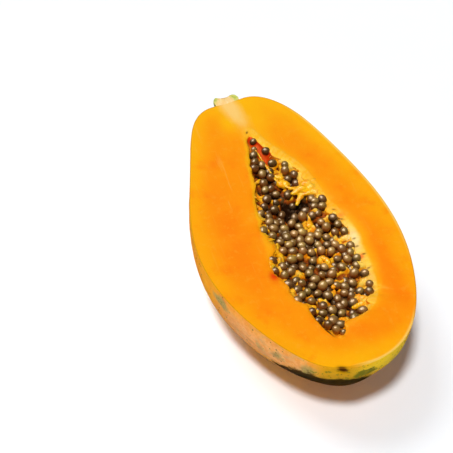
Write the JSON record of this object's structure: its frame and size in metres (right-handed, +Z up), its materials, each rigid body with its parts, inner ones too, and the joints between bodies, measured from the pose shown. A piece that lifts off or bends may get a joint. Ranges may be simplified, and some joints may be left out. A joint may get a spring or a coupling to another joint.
{
  "type": "papaya half",
  "caption": "Ripe papaya half, cut lengthwise through its stalk: orange flesh, a cavity filled with round dark seeds, and yellow-green mottled skin.",
  "frame": {"origin": "on the surface the half rests on, under the middle of its bounding box", "axes": "+Z up, the way the cut face looks; +Y along the fruit from the blossom end to the stalk; +X across the cut face"},
  "size_m": [0.112, 0.209, 0.0585],
  "materials": {
    "fruit": "moist cut flesh with a thin mottled skin",
    "seeds": "wet, translucent seed coats over dark seeds",
    "stalk": "fibrous cut stalk with a green rind"
  },
  "bodies": {
    "root": {"fruit_half": "fruit", "seeds": "seeds", "stalk_stub": "stalk"}
  },
  "joints": []
}
